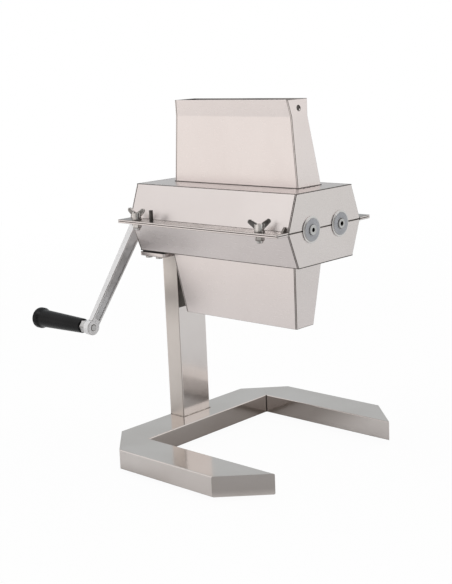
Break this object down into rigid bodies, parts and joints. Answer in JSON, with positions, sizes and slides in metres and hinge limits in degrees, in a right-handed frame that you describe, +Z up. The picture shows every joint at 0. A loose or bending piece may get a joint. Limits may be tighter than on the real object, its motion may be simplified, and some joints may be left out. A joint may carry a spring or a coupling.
{
  "type": "hand crank meat tenderizer",
  "caption": "Hand cranked meat tenderizer: toothed rollers in a split steel housing with a feed hopper and chute, on a post and an open base.",
  "frame": {"origin": "middle of the floor area that the machine covers, on the floor under its feet", "axes": "+X along the rollers from the crank end to the idle end, -Y the front, where the crank's roller and the locating pin are, +Z up"},
  "size_m": [0.3904, 0.326, 0.4425],
  "materials": {
    "stainless_steel": "polished sheet",
    "bright_fasteners": "bright",
    "machined_steel": "machined",
    "blade_steel": "ground",
    "polished_crank": "polished",
    "blackened_steel": "satin black",
    "grey_bush": "satin",
    "black_rubber": "matte",
    "black_grip": "gloss"
  },
  "bodies": {
    "stand": {"base_back_bar": "stainless_steel", "base_arm_front": "stainless_steel", "base_arm_rear": "stainless_steel", "base_corner_caps": "stainless_steel", "base_tip_caps": "stainless_steel", "rubber_feet": "black_rubber", "foot_screws": "bright_fasteners", "post": "stainless_steel", "post_top_plate": "stainless_steel", "mount_gasket": "black_rubber", "mount_screws": "bright_fasteners", "mount_nuts": "bright_fasteners", "tub_front": "stainless_steel", "tub_rear": "stainless_steel", "tub_bottom": "stainless_steel", "tub_end_drive": "stainless_steel", "tub_end_idle": "stainless_steel", "chute_front": "stainless_steel", "chute_back": "stainless_steel", "chute_end_drive": "stainless_steel", "chute_end_idle": "stainless_steel", "flange_studs": "bright_fasteners", "acorn_nuts": "bright_fasteners", "locating_pin": "blackened_steel", "bushes_idle": "grey_bush", "bushes_drive": "grey_bush", "comb_front": "stainless_steel", "comb_rear": "stainless_steel"},
    "cover": {"cover_front": "stainless_steel", "cover_rear": "stainless_steel", "cover_top": "stainless_steel", "cover_end_drive": "stainless_steel", "cover_end_idle": "stainless_steel", "hopper_front": "stainless_steel", "hopper_back": "stainless_steel", "hopper_end_drive": "stainless_steel", "hopper_end_idle": "stainless_steel", "wing_washers": "bright_fasteners"},
    "drive_roller": {"drive_shaft": "machined_steel", "drive_blades": "blade_steel", "drive_spacers": "machined_steel", "drive_gear": "machined_steel", "crank_arm": "polished_crank", "crank_washer": "bright_fasteners", "crank_screw": "bright_fasteners", "grip_spindle": "machined_steel", "grip_collar": "machined_steel"},
    "driven_roller": {"driven_shaft": "machined_steel", "driven_blades": "blade_steel", "driven_spacers": "machined_steel", "driven_gear": "machined_steel"},
    "grip": {"grip": "black_grip"},
    "wing_nut_front_drive": {"wing_nut_front_drive": "bright_fasteners"},
    "wing_nut_front_idle": {"wing_nut_front_idle": "bright_fasteners"},
    "wing_nut_rear_drive": {"wing_nut_rear_drive": "bright_fasteners"},
    "wing_nut_rear_idle": {"wing_nut_rear_idle": "bright_fasteners"}
  },
  "joints": [
    {"name": "drive_roller_spin", "type": "hinge", "parent": "stand", "child": "drive_roller", "pos_m": [0.05815, -0.027, 0.2965], "axis": [1, 0, 0], "continuous": true},
    {"name": "driven_roller_spin", "type": "hinge", "parent": "stand", "child": "driven_roller", "pos_m": [0.05815, 0.027, 0.2965], "axis": [1, 0, 0], "continuous": true},
    {"name": "grip_spin", "type": "hinge", "parent": "drive_roller", "child": "grip", "pos_m": [-0.14965, -0.12699, 0.16525], "axis": [1, 0, 0], "continuous": true},
    {"name": "cover_lift", "type": "slide", "parent": "stand", "child": "cover", "axis": [0, 0, 1], "range_m": [0, 0.12]},
    {"name": "wing_nut_front_drive_turn", "type": "hinge", "parent": "cover", "child": "wing_nut_front_drive", "pos_m": [-0.04785, -0.0775, 0.3005], "axis": [0, 0, 1], "continuous": true},
    {"name": "wing_nut_front_idle_turn", "type": "hinge", "parent": "cover", "child": "wing_nut_front_idle", "pos_m": [0.15415, -0.0775, 0.3005], "axis": [0, 0, 1], "continuous": true},
    {"name": "wing_nut_rear_drive_turn", "type": "hinge", "parent": "cover", "child": "wing_nut_rear_drive", "pos_m": [-0.04785, 0.0775, 0.3005], "axis": [0, 0, 1], "continuous": true},
    {"name": "wing_nut_rear_idle_turn", "type": "hinge", "parent": "cover", "child": "wing_nut_rear_idle", "pos_m": [0.15415, 0.0775, 0.3005], "axis": [0, 0, 1], "continuous": true}
  ],
  "couplings": [
    {"joint": "driven_roller_spin", "follows": "drive_roller_spin", "ratio": -1}
  ]
}
